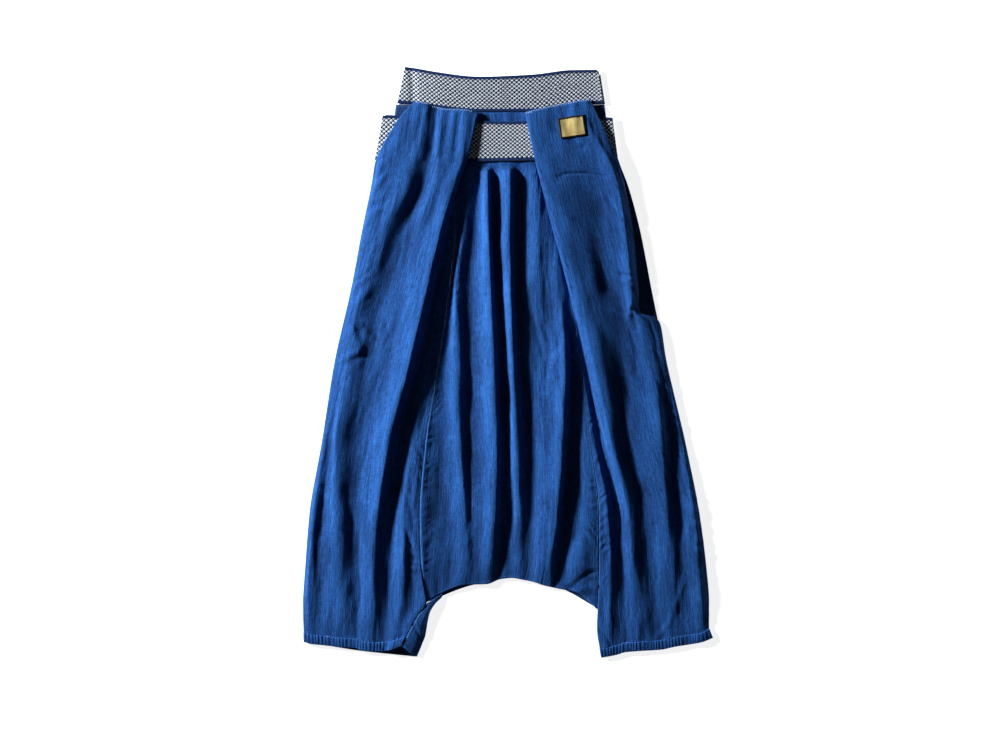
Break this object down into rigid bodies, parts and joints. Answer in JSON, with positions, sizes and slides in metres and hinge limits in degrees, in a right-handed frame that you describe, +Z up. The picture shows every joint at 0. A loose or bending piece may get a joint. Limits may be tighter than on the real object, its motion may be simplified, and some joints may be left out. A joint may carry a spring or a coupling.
{
  "type": "harem jeans laid flat",
  "caption": "Harem jeans lying flat on their back: wide denim legs, gathered drop-crotch gusset, checked knit waistband and a loose knit belt.",
  "frame": {"origin": "centre of the underside's bounding box, on the surface the jeans lie on", "axes": "+Y from the hems to the waist, +X to the right as the front is seen from above, +Z up from the surface"},
  "size_m": [0.6252, 0.9001, 0.0201],
  "materials": {
    "denim": "soft indigo slub denim, matt, with a light sheen on the ridges",
    "knit": "two-colour check knit, white on navy, with plain navy edges",
    "patch": "plain gold woven field in a black stitched border"
  },
  "bodies": {
    "root": {"front_left": "denim", "front_right": "denim", "front_centre": "denim", "back_left": "denim", "back_right": "denim", "back_centre": "denim", "turn_left": "denim", "hem_left_front": "denim", "hem_right_front": "denim", "hem_left_back": "denim", "hem_right_back": "denim", "waistband_front": "knit", "waistband_back": "knit", "belt_front": "knit", "belt_back": "knit", "patch": "patch"}
  },
  "joints": []
}
